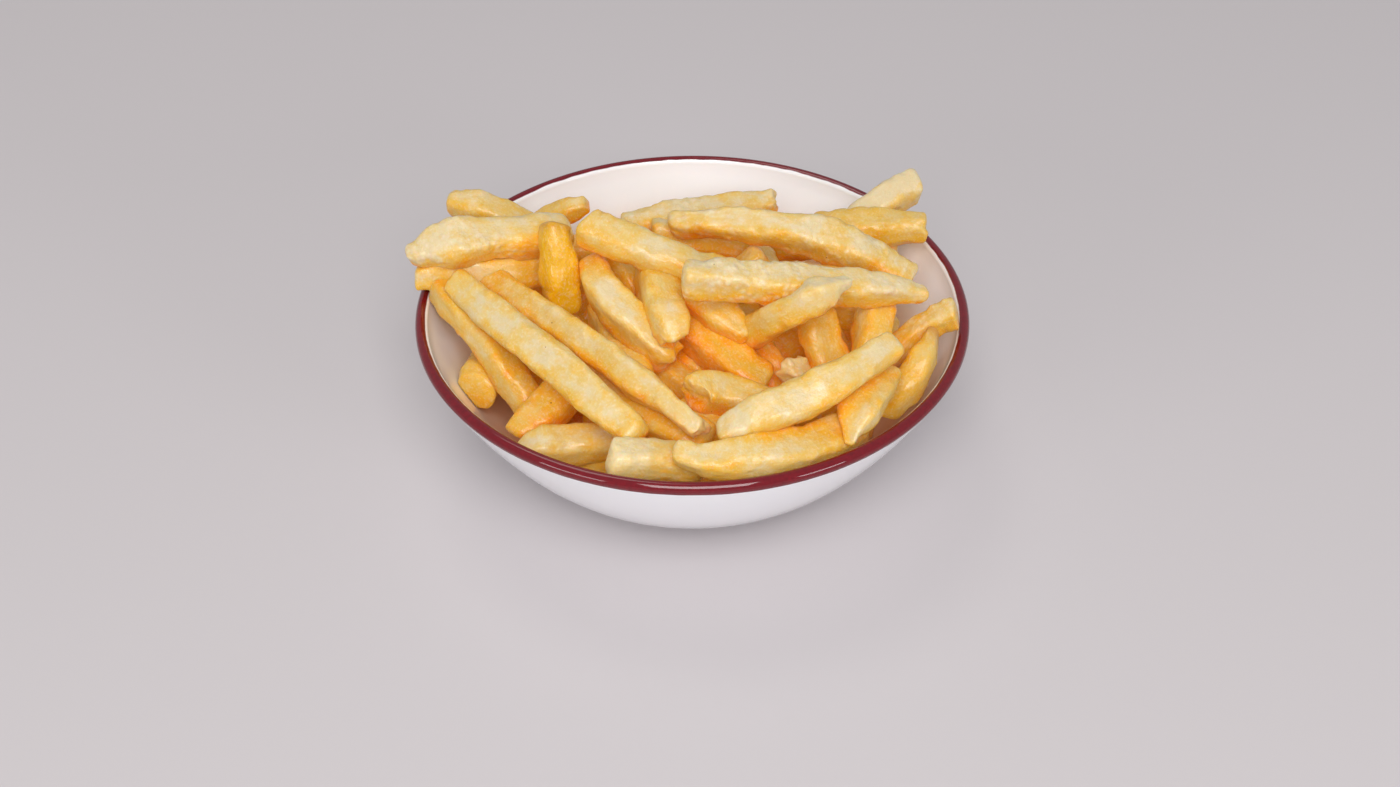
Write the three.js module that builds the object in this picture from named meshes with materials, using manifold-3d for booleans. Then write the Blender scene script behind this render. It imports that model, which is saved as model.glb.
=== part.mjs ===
// A portion of french fries in its bowl, in millimetres, +Z up, origin at the middle of the bowl's underside.
// Two pieces: the glazed porcelain bowl, and the heap of fries that lies in it.
import * as THREE from 'three';
import { mergeVertices } from 'three/addons/utils/BufferGeometryUtils.js';
import Module from 'manifold-3d';

const wasm = await Module();
wasm.setup();

// The bowl: 16 cm across the rim, coupe shaped, on a low foot ring.
const rimRadius = 80;
const bowlHeight = 49;
const lipWidth = 3.7;
const lipRise = 2; // height of the rounded lip above the wall
const wallFootRadius = 40; // where the wall leaves the foot ring
const wallFootHeight = 3;
const footOuterRadius = 38.5;
const footInnerRadius = 35.5;
const footRecess = 1.8; // the underside inside the foot ring stands this much clear of the table
const floorHeight = 5.5; // the eating surface at the middle
const outerFullness = 1.75; // power of the outer curve: 1 is a cone, more bulges lower down
const innerFullness = 3.9; // power of the inner curve
const turnSteps = 40; // facets round every turned piece

// The fries: regular cut sticks, squarish with soft edges.
const contactGap = 0.3; // kept between the fries and the glaze
const cornerShare = 0.56; // flat part of each side of the cut, the rest is the soft edge
const endShare = 0.7; // the rounding of an end: its flat cut is this much narrower
const taperShare = 0.35; // part of the length over which a tip narrows
const stations = [0, 0.07, 0.35, 0.65, 0.93, 1]; // places along a fry where its section is set
const rollRange = 0.4; // how far a fry is rolled about its own line, either way, in radians

// The core that stands for the fries packed out of sight: a bed, and a mound towards the back.
const bed = { radius: 60, edgeHeight: 17, topHeight: 27, steps: 4 };
const mound = { x: -5, y: 24, baseHeight: 8, halfLength: 48, halfWidth: 28, height: 32, steps: 5 };

// The fries that show, placed by hand: both ends and a middle point of each centre line, then the thickness.
// tips says how far each end narrows, where it is not as wide as the middle.
const shownFries = [
  // over the rim on the left, and behind them
  { from: [-81, 5, 61], via: [-62, 10, 64], to: [-36, 20, 58], thick: 12.5, tips: [0.55, 1] },
  { from: [-80, 7, 54], via: [-62, 10, 53], to: [-36, 22, 47], thick: 10, tips: [0.8, 1] },
  { from: [-74, 40, 58], via: [-58, 36, 54], to: [-42, 37, 42], thick: 9.8, tips: [0.8, 1] },
  { from: [-32, 40, 57], via: [-40, 39, 53], to: [-49, 39, 47], thick: 7, tips: [0.7, 1] },
  { from: [-61, 23, 42], via: [-49, 22, 42], to: [-29, 24, 37], thick: 10 },
  // the upright one and those that lie across the top
  { from: [-40, 11, 69], via: [-39, 5, 60], to: [-38, 2, 44], thick: 10.5 },
  { from: [-31, 9, 69], via: [-13, 1, 66], to: [12, -3, 58], thick: 11.5 },
  { from: [-3, -18, 70], via: [30, -17, 68], to: [66, -12, 60], thick: 10.5, tips: [1, 0.6] },
  { from: [-7, 19, 64], via: [35, 9, 66], to: [63, 4, 54], thick: 11, tips: [0.5, 0.8] },
  { from: [43, -24, 74], via: [29, -29, 69], to: [14, -13, 47], thick: 10, tips: [0.3, 1] },
  // along the back and over the rim on the right
  { from: [-21, 28, 56], via: [0, 34, 56], to: [26, 41, 56], thick: 10.5, tips: [0.8, 0.7] },
  { from: [-12, 22, 58], via: [-1, 22, 56], to: [18, 24, 50], thick: 9.5, tips: [0.7, 1] },
  { from: [69, 49, 57], via: [58, 43, 54], to: [46, 37, 49], thick: 10.5 },
  { from: [70, 28, 55], via: [54, 30, 54], to: [36, 32, 51], thick: 11, tips: [0.75, 1] },
  { from: [21, 10, 59], via: [14, 8, 52], to: [12, 8, 45], thick: 9 },
  { from: [45, 6, 55], via: [33, 7, 53], to: [21, 12, 48], thick: 9.5 },
  // down the middle, towards the front
  { from: [-12, 16, 50], via: [-9, -9, 58], to: [-5, -25, 53], thick: 12, tips: [1, 0.7] },
  { from: [-2, -6, 56], via: [6, -13, 56], to: [16, -23, 54], thick: 10.5, tips: [1, 0.5] },
  { from: [-29, 8, 58], via: [-21, -11, 55], to: [-6, -22, 46], thick: 10 },
  { from: [-24, 17, 51], via: [-20, 12, 49], to: [-13, 3, 42], thick: 10 },
  { from: [-6, -1, 46], via: [6, -18, 47], to: [20, -28, 40], thick: 12 },
  { from: [0, -41, 48], via: [8, -39, 47], to: [23, -42, 43], thick: 10.5 },
  // the long ones on the left
  { from: [-69, 1, 56], via: [-40, -32, 54], to: [-14, -60, 49], thick: 11, tips: [0.8, 0.75] },
  { from: [-61, 11, 50], via: [-31, -22, 52], to: [3, -56, 47], thick: 10, tips: [1, 0.5] },
  { from: [-74, 6, 51], via: [-56, -18, 44], to: [-44, -31, 32], thick: 9.5 },
  { from: [-62, -24, 35], via: [-60, -15, 33], to: [-57, 4, 28], thick: 12.5 },
  // along the front
  { from: [-47, -43, 35], via: [-42, -38, 38], to: [-29, -24, 42], thick: 10 },
  { from: [-47, -52, 38], via: [-34, -50, 38], to: [-16, -45, 35], thick: 10, tips: [0.5, 1] },
  { from: [-22, -66, 46], via: [-11, -64, 44], to: [3, -61, 39], thick: 11 },
  { from: [-5, -67, 50], via: [19, -66, 47], to: [45, -47, 41], thick: 10.5, tips: [0.65, 1] },
  { from: [55, -36, 62], via: [31, -53, 58], to: [7, -60, 50], thick: 12, tips: [0.7, 0.7] },
  // the ones that stand against the wall on the right
  { from: [54, -35, 53], via: [47, -48, 52], to: [42, -61, 47], thick: 10, tips: [0.8, 0.3] },
  { from: [68, -18, 53], via: [62, -29, 46], to: [54, -34, 36], thick: 10.5, tips: [0.4, 0.8] },
  { from: [75, -13, 55], via: [66, -14, 50], to: [50, -18, 38], thick: 9.5 },
  { from: [52, -5, 53], via: [51, -17, 53], to: [49, -27, 44], thick: 11.5 },
  { from: [34, -13, 55], via: [36, -19, 51], to: [41, -28, 39], thick: 10.5 },
  { from: [51, -32, 28], via: [44, -23, 27], to: [36, -7, 24], thick: 10 },
  { from: [31, 5, 46], via: [40, -1, 48], to: [53, -1, 45], thick: 9.5 },
  // deeper ones seen between the others
  { from: [28, -26, 47], via: [30, -28, 42], to: [35, -30, 26], thick: 9 },
  { from: [19, -10, 44], via: [22, -18, 40], to: [27, -27, 32], thick: 9.5 },
  { from: [21, -8, 28], via: [29, -1, 32], to: [40, 10, 36], thick: 10 },
  { from: [11, -4, 30], via: [21, 2, 33], to: [35, 12, 37], thick: 9 },
  { from: [8, 10, 40], via: [13, 4, 41], to: [19, 4, 38], thick: 10 },
  { from: [-13, 0, 35], via: [0, -13, 36], to: [14, -21, 31], thick: 10 },
  { from: [-11, -14, 36], via: [-4, -21, 36], to: [6, -27, 32], thick: 9 },
  { from: [-26, -26, 40], via: [-10, -41, 40], to: [5, -49, 37], thick: 10.5 },
  { from: [-2, -34, 38], via: [5, -41, 38], to: [17, -44, 34], thick: 10 },
  // out of sight, carrying those along the front and those on the back rim
  { from: [-44, -42, 31], via: [-28, -46, 30], to: [-8, -46, 24], thick: 11 },
  { from: [-14, -58, 34], via: [6, -58, 33], to: [28, -52, 31], thick: 10.5 },
  { from: [14, -60, 37], via: [31, -52, 36], to: [47, -38, 32], thick: 10.5 },
  { from: [-52, 38, 36], via: [-36, 41, 37], to: [-20, 42, 34], thick: 10.5 },
  { from: [61, 29, 46], via: [43, 35, 45], to: [24, 38, 42], thick: 10.5 },
];

// The rule for the fries between and behind those: dropped on the core one by one, where there is room.
const fill = {
  seed: 5,
  attempts: 60000,
  count: 24,
  lengths: [32, 60],
  thicks: [9, 11],
  lift: 16, // highest start above the core
  squeeze: 3, // how far two neighbours may press together
  cover: 0.55, // how much of a fry that shows may be hidden by one of these
  reach: 62,
  samples: 7,
  bend: 0.35, // how much of the core's curve a fry follows
  wallRoom: 1.15, // least distance from the wall, in half thicknesses
  aboveRim: 12, // highest point above the rim
};

// How the heap is looked at: from the front, 40 degrees up. Filling fries stay inside this outline,
// and behind the fries that show.
const view = { elevation: 40, distance: 585, aimHeight: 15 };
const outline = { middle: 27, halfWidth: 68, halfHeight: 42 };

// A repeatable draw between 0 and 1.
function seeded(seed) {
  let state = seed;
  return () => {
    state = (state + 0x6d2b79f5) | 0;
    let mixed = Math.imul(state ^ (state >>> 15), 1 | state);
    mixed = (mixed + Math.imul(mixed ^ (mixed >>> 7), 61 | mixed)) ^ mixed;
    return ((mixed ^ (mixed >>> 14)) >>> 0) / 4294967296;
  };
}

const between = (low, high, share) => low + (high - low) * share;

// The bowl's wall

const lipBase = bowlHeight - lipRise;
const innerRimRadius = rimRadius - lipWidth;

function outerWall(share) {
  const radius = between(wallFootRadius, rimRadius, share);
  return [radius, between(wallFootHeight, lipBase, share ** outerFullness)];
}

function innerWall(share, inset = 0) {
  const rise = lipBase - floorHeight;
  const slope = (rise / innerRimRadius) * innerFullness * share ** (innerFullness - 1);
  const length = Math.hypot(1, slope);
  const radius = innerRimRadius * share - (inset * slope) / length;
  return [Math.max(radius, 0), floorHeight + rise * share ** innerFullness + inset / length];
}

// The lip is a half ellipse from the outer wall, share 0, over the top to the inner wall, share 1.
function lip(share, grow = 0) {
  const turn = Math.PI * share;
  const radius = rimRadius - lipWidth / 2 + (lipWidth / 2 + grow) * Math.cos(turn);
  return [radius, lipBase + (lipRise + grow) * Math.sin(turn)];
}

// Steps up the inner wall, closer together where it turns up towards the rim.
const innerSteps = 9;
const innerShares = Array.from({ length: innerSteps + 1 }, (_, step) => (step / innerSteps) ** 0.6);
const lipSteps = 6;

function bowlProfile() {
  const points = [
    [0, footRecess],
    [footInnerRadius - footRecess, footRecess],
    [footInnerRadius, 0],
    [footOuterRadius, 0],
  ];
  const outerSteps = 7;
  for (let step = 0; step <= outerSteps; step += 1) points.push(outerWall(step / outerSteps));
  for (let step = 1; step < lipSteps; step += 1) points.push(lip(step / lipSteps));
  for (const share of [...innerShares].reverse()) points.push(innerWall(share));
  return points;
}

// What the fries keep out of: the wall and the lip, grown by the contact gap, and the space under them.
function keepOutProfile() {
  const beyond = 95;
  const below = -5;
  const points = [[0, below], [beyond, below], [beyond, bowlHeight + contactGap]];
  for (let step = lipSteps / 2; step < lipSteps; step += 1) points.push(lip(step / lipSteps, contactGap));
  for (const share of [...innerShares].reverse()) points.push(innerWall(share, contactGap));
  return points;
}

function turned(profile) {
  const points = profile.map(([radius, height]) => new THREE.Vector2(radius, height));
  return new THREE.LatheGeometry(points, turnSteps).rotateX(Math.PI / 2);
}

// The core

function bedHeight(x, y) {
  const share = Math.hypot(x, y) / bed.radius;
  return between(bed.topHeight, bed.edgeHeight, share ** 2);
}

function moundHeight(x, y) {
  const away = Math.hypot((x - mound.x) / mound.halfLength, (y - mound.y) / mound.halfWidth);
  return mound.baseHeight + mound.height * Math.sqrt(Math.max(0, 1 - away ** 2));
}

const coreHeight = (x, y) => Math.max(bedHeight(x, y), moundHeight(x, y));

function bedGeometry() {
  const points = innerShares.map((share) => innerWall(share, contactGap));
  const profile = points.filter(([, height]) => height < bed.edgeHeight);
  const edgeRadius = profile[profile.length - 1][0];
  for (let step = bed.steps - 1; step >= 0; step -= 1) {
    const radius = (edgeRadius * step) / bed.steps;
    profile.push([radius, bedHeight(radius, 0)]);
  }
  return turned(profile);
}

function moundGeometry() {
  const profile = [[0, 0]];
  for (let step = 0; step <= mound.steps; step += 1) {
    const turn = (Math.PI / 2) * (step / mound.steps);
    profile.push([step === mound.steps ? 0 : Math.cos(turn), Math.sin(turn)]);
  }
  const points = profile.map(([radius, height]) => new THREE.Vector2(radius, height));
  const geometry = new THREE.LatheGeometry(points, turnSteps / 2).rotateX(Math.PI / 2);
  geometry.scale(mound.halfLength, mound.halfWidth, mound.height);
  return geometry.translate(mound.x, mound.y, mound.baseHeight);
}

// One fry

function centreLine(fry) {
  const [from, via, to] = [fry.from, fry.via, fry.to].map((point) => new THREE.Vector3(...point));
  const pull = via.clone().multiplyScalar(2).addScaledVector(from, -0.5).addScaledVector(to, -0.5);
  return new THREE.QuadraticBezierCurve3(from, pull, to);
}

// The section is a square with its corners taken off, as eight points round the centre line.
function fryRing(centre, along, half, roll) {
  const sideways = new THREE.Vector3(0, 0, 1).cross(along);
  if (sideways.length() < 0.2) sideways.set(1, 0, 0);
  sideways.addScaledVector(along, -sideways.dot(along)).normalize();
  const upwards = along.clone().cross(sideways);
  const flat = half * cornerShare;
  const corners = [[half, -flat], [half, flat], [flat, half], [-flat, half]];
  const ring = [...corners, ...corners.map(([across, up]) => [-across, -up])];
  return ring.map(([across, up]) => {
    const turnedAcross = across * Math.cos(roll) - up * Math.sin(roll);
    const turnedUp = across * Math.sin(roll) + up * Math.cos(roll);
    return centre.clone().addScaledVector(sideways, turnedAcross).addScaledVector(upwards, turnedUp);
  });
}

// Half the thickness at a share of the length, narrowing towards a tip.
function halfThickness(fry, share) {
  const [first, last] = fry.tips ?? [1, 1];
  const rise = (distance) => THREE.MathUtils.smoothstep(distance, 0, taperShare);
  return (fry.thick / 2) * between(first, 1, rise(share)) * between(last, 1, rise(1 - share));
}

function fryGeometry(fry) {
  const line = centreLine(fry);
  const rings = stations.map((share) => {
    const rounding = share === 0 || share === 1 ? endShare : 1;
    const half = halfThickness(fry, share) * rounding;
    return fryRing(line.getPoint(share), line.getTangent(share), half, fry.roll);
  });
  const sides = rings[0].length;
  const triangles = [];
  for (let ring = 0; ring + 1 < rings.length; ring += 1) {
    for (let side = 0; side < sides; side += 1) {
      const next = (side + 1) % sides;
      const [a, b] = [ring * sides + side, ring * sides + next];
      triangles.push(a, b, b + sides, a, b + sides, a + sides);
    }
  }
  const last = (rings.length - 1) * sides;
  for (let side = 1; side + 1 < sides; side += 1) {
    triangles.push(0, side + 1, side, last, last + side, last + side + 1);
  }
  const geometry = new THREE.BufferGeometry().setFromPoints(rings.flat());
  return geometry.setIndex(triangles);
}

// Filling the heap

function samplesOf(fry) {
  const line = centreLine(fry);
  return Array.from({ length: fill.samples }, (_, step) => line.getPoint(step / (fill.samples - 1)));
}

const wallSteps = 40;

function wallDistance(point) {
  const radius = Math.hypot(point.x, point.y);
  let nearest = Infinity;
  for (let step = 0; step <= wallSteps; step += 1) {
    const [wallRadius, wallHeight] = innerWall(step / wallSteps);
    nearest = Math.min(nearest, Math.hypot(radius - wallRadius, point.z - wallHeight));
  }
  return nearest;
}

// Place of a point as it is seen from the front: across, up and towards the viewer.
function seen(point) {
  const tilt = THREE.MathUtils.degToRad(view.elevation);
  const height = point.z - view.aimHeight;
  const towards = height * Math.sin(tilt) - point.y * Math.cos(tilt);
  const scale = view.distance / (view.distance - towards);
  return [point.x * scale, (point.y * Math.sin(tilt) + height * Math.cos(tilt)) * scale, towards];
}

function insideOutline(point, half) {
  const [across, up] = seen(point);
  const middle = outline.middle - view.aimHeight * Math.cos(THREE.MathUtils.degToRad(view.elevation));
  return Math.hypot(across / (outline.halfWidth - half), (up - middle) / (outline.halfHeight - half)) < 1;
}

function coversShown(point, half, shown) {
  const [across, up, towards] = seen(point);
  return shown.some((other) => {
    const reach = (half + other.thick / 2) * fill.cover;
    return other.seenPoints.some(([otherAcross, otherUp, otherTowards]) => {
      return Math.hypot(across - otherAcross, up - otherUp) < reach && towards > otherTowards;
    });
  });
}

function crowds(points, thick, placed) {
  return placed.some((other) => {
    const least = (thick + other.thick) / 2 - fill.squeeze;
    return other.points.some((far) => points.some((near) => near.distanceTo(far) < least));
  });
}

function droppedFry(random) {
  const reach = fill.reach * Math.sqrt(random());
  const angle = 2 * Math.PI * random();
  const heading = Math.PI * random();
  const half = between(...fill.lengths, random()) / 2;
  const thick = between(...fill.thicks, random());
  const lift = fill.lift * random();
  const place = (offset) => {
    const x = reach * Math.cos(angle) + offset * Math.cos(heading);
    const y = reach * Math.sin(angle) + offset * Math.sin(heading);
    return [x, y, coreHeight(x, y) + thick / 2 + lift];
  };
  const [from, via, to] = [place(-half), place(0), place(half)];
  via[2] = between((from[2] + to[2]) / 2, via[2], fill.bend);
  return { from, via, to, thick };
}

function filledHeap() {
  const random = seeded(fill.seed);
  const placed = shownFries.map((fry) => ({ ...fry, points: samplesOf(fry) }));
  for (const fry of placed) fry.seenPoints = fry.points.map(seen);
  const shown = [...placed];
  for (let attempt = 0; attempt < fill.attempts && placed.length < shown.length + fill.count; attempt += 1) {
    const fry = droppedFry(random);
    fry.points = samplesOf(fry);
    const half = fry.thick / 2;
    const fits = fry.points.every((point) => {
      const clear = wallDistance(point) > half * fill.wallRoom + contactGap;
      const low = point.z < bowlHeight + fill.aboveRim;
      return clear && low && insideOutline(point, half) && !coversShown(point, half, shown);
    });
    if (fits && !crowds(fry.points, fry.thick, placed)) placed.push(fry);
  }
  for (const fry of placed) fry.roll = between(-rollRange, rollRange, random());
  return placed;
}

// Joining and cutting

function solidFrom(geometry) {
  const bare = geometry.clone();
  bare.deleteAttribute('normal');
  bare.deleteAttribute('uv');
  const merged = mergeVertices(bare, 1e-4);
  const corners = merged.index.array;
  const kept = [];
  for (let start = 0; start < corners.length; start += 3) {
    const [a, b, c] = corners.slice(start, start + 3);
    if (a !== b && b !== c && c !== a) kept.push(a, b, c);
  }
  const mesh = { numProp: 3, vertProperties: merged.attributes.position.array, triVerts: new Uint32Array(kept) };
  return new wasm.Manifold(new wasm.Mesh(mesh));
}

function geometryFrom(solid) {
  const mesh = solid.getMesh();
  const geometry = new THREE.BufferGeometry();
  geometry.setAttribute('position', new THREE.BufferAttribute(mesh.vertProperties, 3));
  geometry.setIndex(new THREE.BufferAttribute(mesh.triVerts, 1));
  return geometry;
}

// The largest closed surface: a loose scrap is dropped, and a hollow sealed inside is filled.
function outerSurface(solid) {
  const parts = solid.decompose();
  return parts.reduce((largest, part) => (part.volume() > largest.volume() ? part : largest));
}

function heapGeometry() {
  let heap = solidFrom(bedGeometry()).add(solidFrom(moundGeometry()));
  for (const fry of filledHeap()) heap = heap.add(solidFrom(fryGeometry(fry)));
  heap = heap.subtract(solidFrom(turned(keepOutProfile())));
  return geometryFrom(outerSurface(heap));
}

function piece(name, geometry, material) {
  const mesh = new THREE.Mesh(geometry, new THREE.MeshStandardMaterial(material));
  mesh.name = name;
  return mesh;
}

const portion = new THREE.Group();
portion.add(piece('bowl', turned(bowlProfile()), { color: 0xece8e4, roughness: 0.12, metalness: 0 }));
portion.add(piece('fries', heapGeometry(), { color: 0xe8bf5a, roughness: 0.55, metalness: 0 }));

export default portion;
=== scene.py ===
import math
import bpy
import numpy as np
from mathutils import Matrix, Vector


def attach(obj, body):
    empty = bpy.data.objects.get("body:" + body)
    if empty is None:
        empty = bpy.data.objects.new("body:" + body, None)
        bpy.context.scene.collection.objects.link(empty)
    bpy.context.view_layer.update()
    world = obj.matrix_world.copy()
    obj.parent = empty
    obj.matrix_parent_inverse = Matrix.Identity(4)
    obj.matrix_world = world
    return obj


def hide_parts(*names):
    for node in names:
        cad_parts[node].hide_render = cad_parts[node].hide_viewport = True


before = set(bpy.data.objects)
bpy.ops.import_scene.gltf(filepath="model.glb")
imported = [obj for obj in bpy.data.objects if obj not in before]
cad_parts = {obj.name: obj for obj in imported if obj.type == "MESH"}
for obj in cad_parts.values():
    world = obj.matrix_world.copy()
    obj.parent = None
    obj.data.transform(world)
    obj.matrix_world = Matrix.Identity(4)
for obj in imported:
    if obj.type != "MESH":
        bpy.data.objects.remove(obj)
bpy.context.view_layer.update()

mm = 0.001  # the lists below are in millimetres, Blender works in metres


# Small helpers

def hexToLinear(code, alpha=1.0):
    channels = [int(code[start:start + 2], 16) / 255 for start in (1, 3, 5)]
    linear = [c / 12.92 if c <= 0.04045 else ((c + 0.055) / 1.055) ** 2.4 for c in channels]
    return (*linear, alpha)


def addNode(tree, kind, inputs=None, **settings):
    # adds a node, sets its options, and fills or links its sockets
    node = tree.nodes.new(kind)
    for name, value in settings.items():
        setattr(node, name, value)
    for name, value in (inputs or {}).items():
        if isinstance(value, bpy.types.NodeSocket):
            tree.links.new(value, node.inputs[name])
        else:
            node.inputs[name].default_value = value
    return node


def newMaterial(name):
    material = bpy.data.materials.new(name)
    material.use_nodes = True
    material.node_tree.nodes.clear()
    return material, material.node_tree


def finishMaterial(tree, surface):
    addNode(tree, "ShaderNodeOutputMaterial", {"Surface": surface.outputs[0]})


def between(low, high, share):
    return low + (high - low) * share


def smoothShare(share):
    share = np.clip(share, 0, 1)
    return share * share * (3 - 2 * share)


def latticeValue(cell, seed):
    # a repeatable value from -1 to 1 for each whole-number cell
    mixed = (cell[..., 0] * 73856093) ^ (cell[..., 1] * 19349663) ^ (cell[..., 2] * 83492791)
    mixed = (mixed ^ (seed * 40503)) & 0x7FFFFFFF
    mixed = ((mixed ^ (mixed >> 15)) * 73244475) & 0x7FFFFFFF
    mixed = ((mixed ^ (mixed >> 13)) * 73244475) & 0x7FFFFFFF
    return ((mixed ^ (mixed >> 16)) & 0xFFFF) / 32767.5 - 1


def softNoise(points, size, seed):
    # smooth noise from -1 to 1, with lumps about as large as size
    scaled = points / size
    cell = np.floor(scaled).astype(np.int64)
    part = smoothShare(scaled - cell)
    total = np.zeros(points.shape[:-1])
    for corner in np.ndindex(2, 2, 2):
        weight = np.prod(np.where(np.array(corner) == 1, part, 1 - part), axis=-1)
        total += weight * latticeValue(cell + np.array(corner), seed)
    return total


def meshPiece(name, points, faces, material, attributes=None):
    mesh = bpy.data.meshes.new(name)
    mesh.from_pydata((points * mm).tolist(), [], faces)
    for attribute, values in (attributes or {}).items():
        layer = mesh.attributes.new(attribute, "FLOAT_VECTOR", "POINT")
        layer.data.foreach_set("vector", np.ascontiguousarray(values, dtype=np.float32).ravel())
    mesh.polygons.foreach_set("use_smooth", [True] * len(mesh.polygons))
    mesh.materials.append(material)
    piece = bpy.data.objects.new(name, mesh)
    bpy.context.scene.collection.objects.link(piece)
    return piece


def ringFaces(rings, sides):
    # quads between rings of points that follow each other
    faces = []
    for ring in range(rings - 1):
        for side in range(sides):
            following = (side + 1) % sides
            a, b = ring * sides + side, ring * sides + following
            faces.append((a, b, b + sides, a + sides))
    return faces


def withPoles(rings, values):
    # one more point in the middle of each end
    points = np.concatenate([rings.reshape(-1, 3), [rings[0].mean(0), rings[-1].mean(0)]])
    values = {name: np.concatenate([value.reshape(-1, 3), [value[0].mean(0), value[-1].mean(0)]])
              for name, value in values.items()}
    return points, values


def closedFaces(rings, sides):
    # quads between the rings, and triangles from the two end points, which come last
    faces = ringFaces(rings, sides)
    first, last = rings * sides, rings * sides + 1
    top = (rings - 1) * sides
    for side in range(sides):
        following = (side + 1) % sides
        faces += [(first, following, side), (last, top + side, top + following)]
    return faces


# Camera: in front of the bowl and above it, 585 mm away, looking down 39 degrees

camera = {"lens": 50.0, "sensor": 36.0, "elevation": 39.4, "distance": 585.0, "aim": (2.2, 0.0, 14.8)}

cameraData = bpy.data.cameras.new("camera")
cameraData.lens = camera["lens"]
cameraData.sensor_width = camera["sensor"]
cameraObject = bpy.data.objects.new("camera", cameraData)
tilt = math.radians(camera["elevation"])
lookAlong = Vector((0, math.cos(tilt), -math.sin(tilt)))
cameraObject.location = (Vector(camera["aim"]) - lookAlong * camera["distance"]) * mm
cameraObject.rotation_euler = (math.pi / 2 - tilt, 0, 0)
bpy.context.scene.collection.objects.link(cameraObject)
bpy.context.scene.camera = cameraObject


# Studio: a plain pale floor under large soft lights

studio = {
    "floor": "#CAC4C5",
    "floorSize": 6.0,
    "sky": "#F6F7FA",
    "skyStrength": 0.45,
    "lights": [  # place in metres, width and height in metres, watts, colour
        {"name": "softOverhead", "at": (-0.3, 0.45, 1.25), "size": (0.5, 0.5), "power": 1.8,
         "colour": "#FFFCF6"},
        {"name": "softFrontHigh", "at": (0.05, -0.95, 1.05), "size": (0.8, 0.8), "power": 12.5,
         "colour": "#FFFFFF"},
        {"name": "softFrontLeft", "at": (-1.1, -1.15, 0.5), "size": (0.7, 0.35), "power": 3.8,
         "colour": "#FFFDFE"},
        {"name": "softFrontRight", "at": (1.2, -1.1, 0.5), "size": (0.5, 0.3), "power": 3.4,
         "colour": "#FCFBFF"},
    ],
}


def layFloor():
    material, tree = newMaterial("paintedBoardPale")  # a matte painted board, plain and even
    surface = addNode(tree, "ShaderNodeBsdfPrincipled", {
        "Base Color": hexToLinear(studio["floor"]), "Roughness": 0.85, "Specular IOR Level": 0.2})
    finishMaterial(tree, surface)
    half = studio["floorSize"] / 2 / mm
    corners = [(-half, -half, 0), (half, -half, 0), (half, half, 0), (-half, half, 0)]
    floor = meshPiece("floor", np.array(corners), [(0, 1, 2, 3)], material)


def paintSky():
    world = bpy.data.worlds.new("studioSky")
    world.use_nodes = True
    world.node_tree.nodes.clear()
    sky = addNode(world.node_tree, "ShaderNodeBackground", {
        "Color": hexToLinear(studio["sky"]), "Strength": studio["skyStrength"]})
    addNode(world.node_tree, "ShaderNodeOutputWorld", {"Surface": sky.outputs[0]})
    bpy.context.scene.world = world


def hangLight(light):
    data = bpy.data.lights.new(light["name"], "AREA")
    data.shape = "RECTANGLE"
    data.size, data.size_y = light["size"]
    data.energy = light["power"]
    data.color = hexToLinear(light["colour"])[:3]
    lamp = bpy.data.objects.new(light["name"], data)
    lamp.location = light["at"]
    lamp.rotation_euler = (-Vector(light["at"])).to_track_quat("-Z", "Y").to_euler()
    bpy.context.scene.collection.objects.link(lamp)


layFloor()
paintSky()
for light in studio["lights"]:
    hangLight(light)
bpy.context.scene.view_settings.view_transform = "Standard"  # keeps the yellows as bright as they are
print("camera and studio ready")


# Bowl: porcelain, turned, glazed white, with a burgundy band painted round the lip

bowl = {
    "rimRadius": 80.0,
    "height": 49.0,
    "lipWidth": 3.7,
    "lipRise": 2.0,
    "wallFootRadius": 40.0,
    "wallFootHeight": 3.0,
    "footOuterRadius": 38.5,
    "footInnerRadius": 35.5,
    "footRecess": 1.8,
    "floorHeight": 5.5,
    "outerFullness": 1.75,
    "innerFullness": 3.9,
    "turnSteps": 192,
    "footRounding": 0.8,
    "bandOnLip": 3.0,      # width of the painted band on top of the lip
    "bandOutside": 1.3,    # how far it runs down the outside
    "bandEdge": 0.12,      # half the width of its soft edge
    "bandWaver": 0.5,      # how far that edge wavers, where the brush did
    "waverLength": 6.0,
    "brushStreak": 1.1,    # width of the streaks in the band
    "glazeWave": 22.0,     # length of the waves in the glaze
    "glaze": "#FCFCFF",
    "paintedFryReflection": "#FFCC92",    # the warm orange of the fries painted into the glaze near them, a painted reflection
    "paintedReflectionShare": 0.6,       # how much of that painted reflection shows at its strongest
    "paintedReflectionHeights": (24.0, 39.0),  # the painted reflection fades out between these heights
    "bandDark": "#640412",
    "bandLight": "#7E0618",
}
lipBase = bowl["height"] - bowl["lipRise"]
innerRimRadius = bowl["rimRadius"] - bowl["lipWidth"]


def outerWall(share):
    radius = between(bowl["wallFootRadius"], bowl["rimRadius"], share)
    return radius, between(bowl["wallFootHeight"], lipBase, share ** bowl["outerFullness"])


def innerWall(share, inset=0.0):
    share = np.asarray(share, dtype=float)
    rise = lipBase - bowl["floorHeight"]
    fullness = bowl["innerFullness"]
    slope = rise / innerRimRadius * fullness * share ** (fullness - 1)
    length = np.hypot(1, slope)
    radius = innerRimRadius * share - inset * slope / length
    return np.maximum(radius, 0), bowl["floorHeight"] + rise * share ** fullness + inset / length


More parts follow.
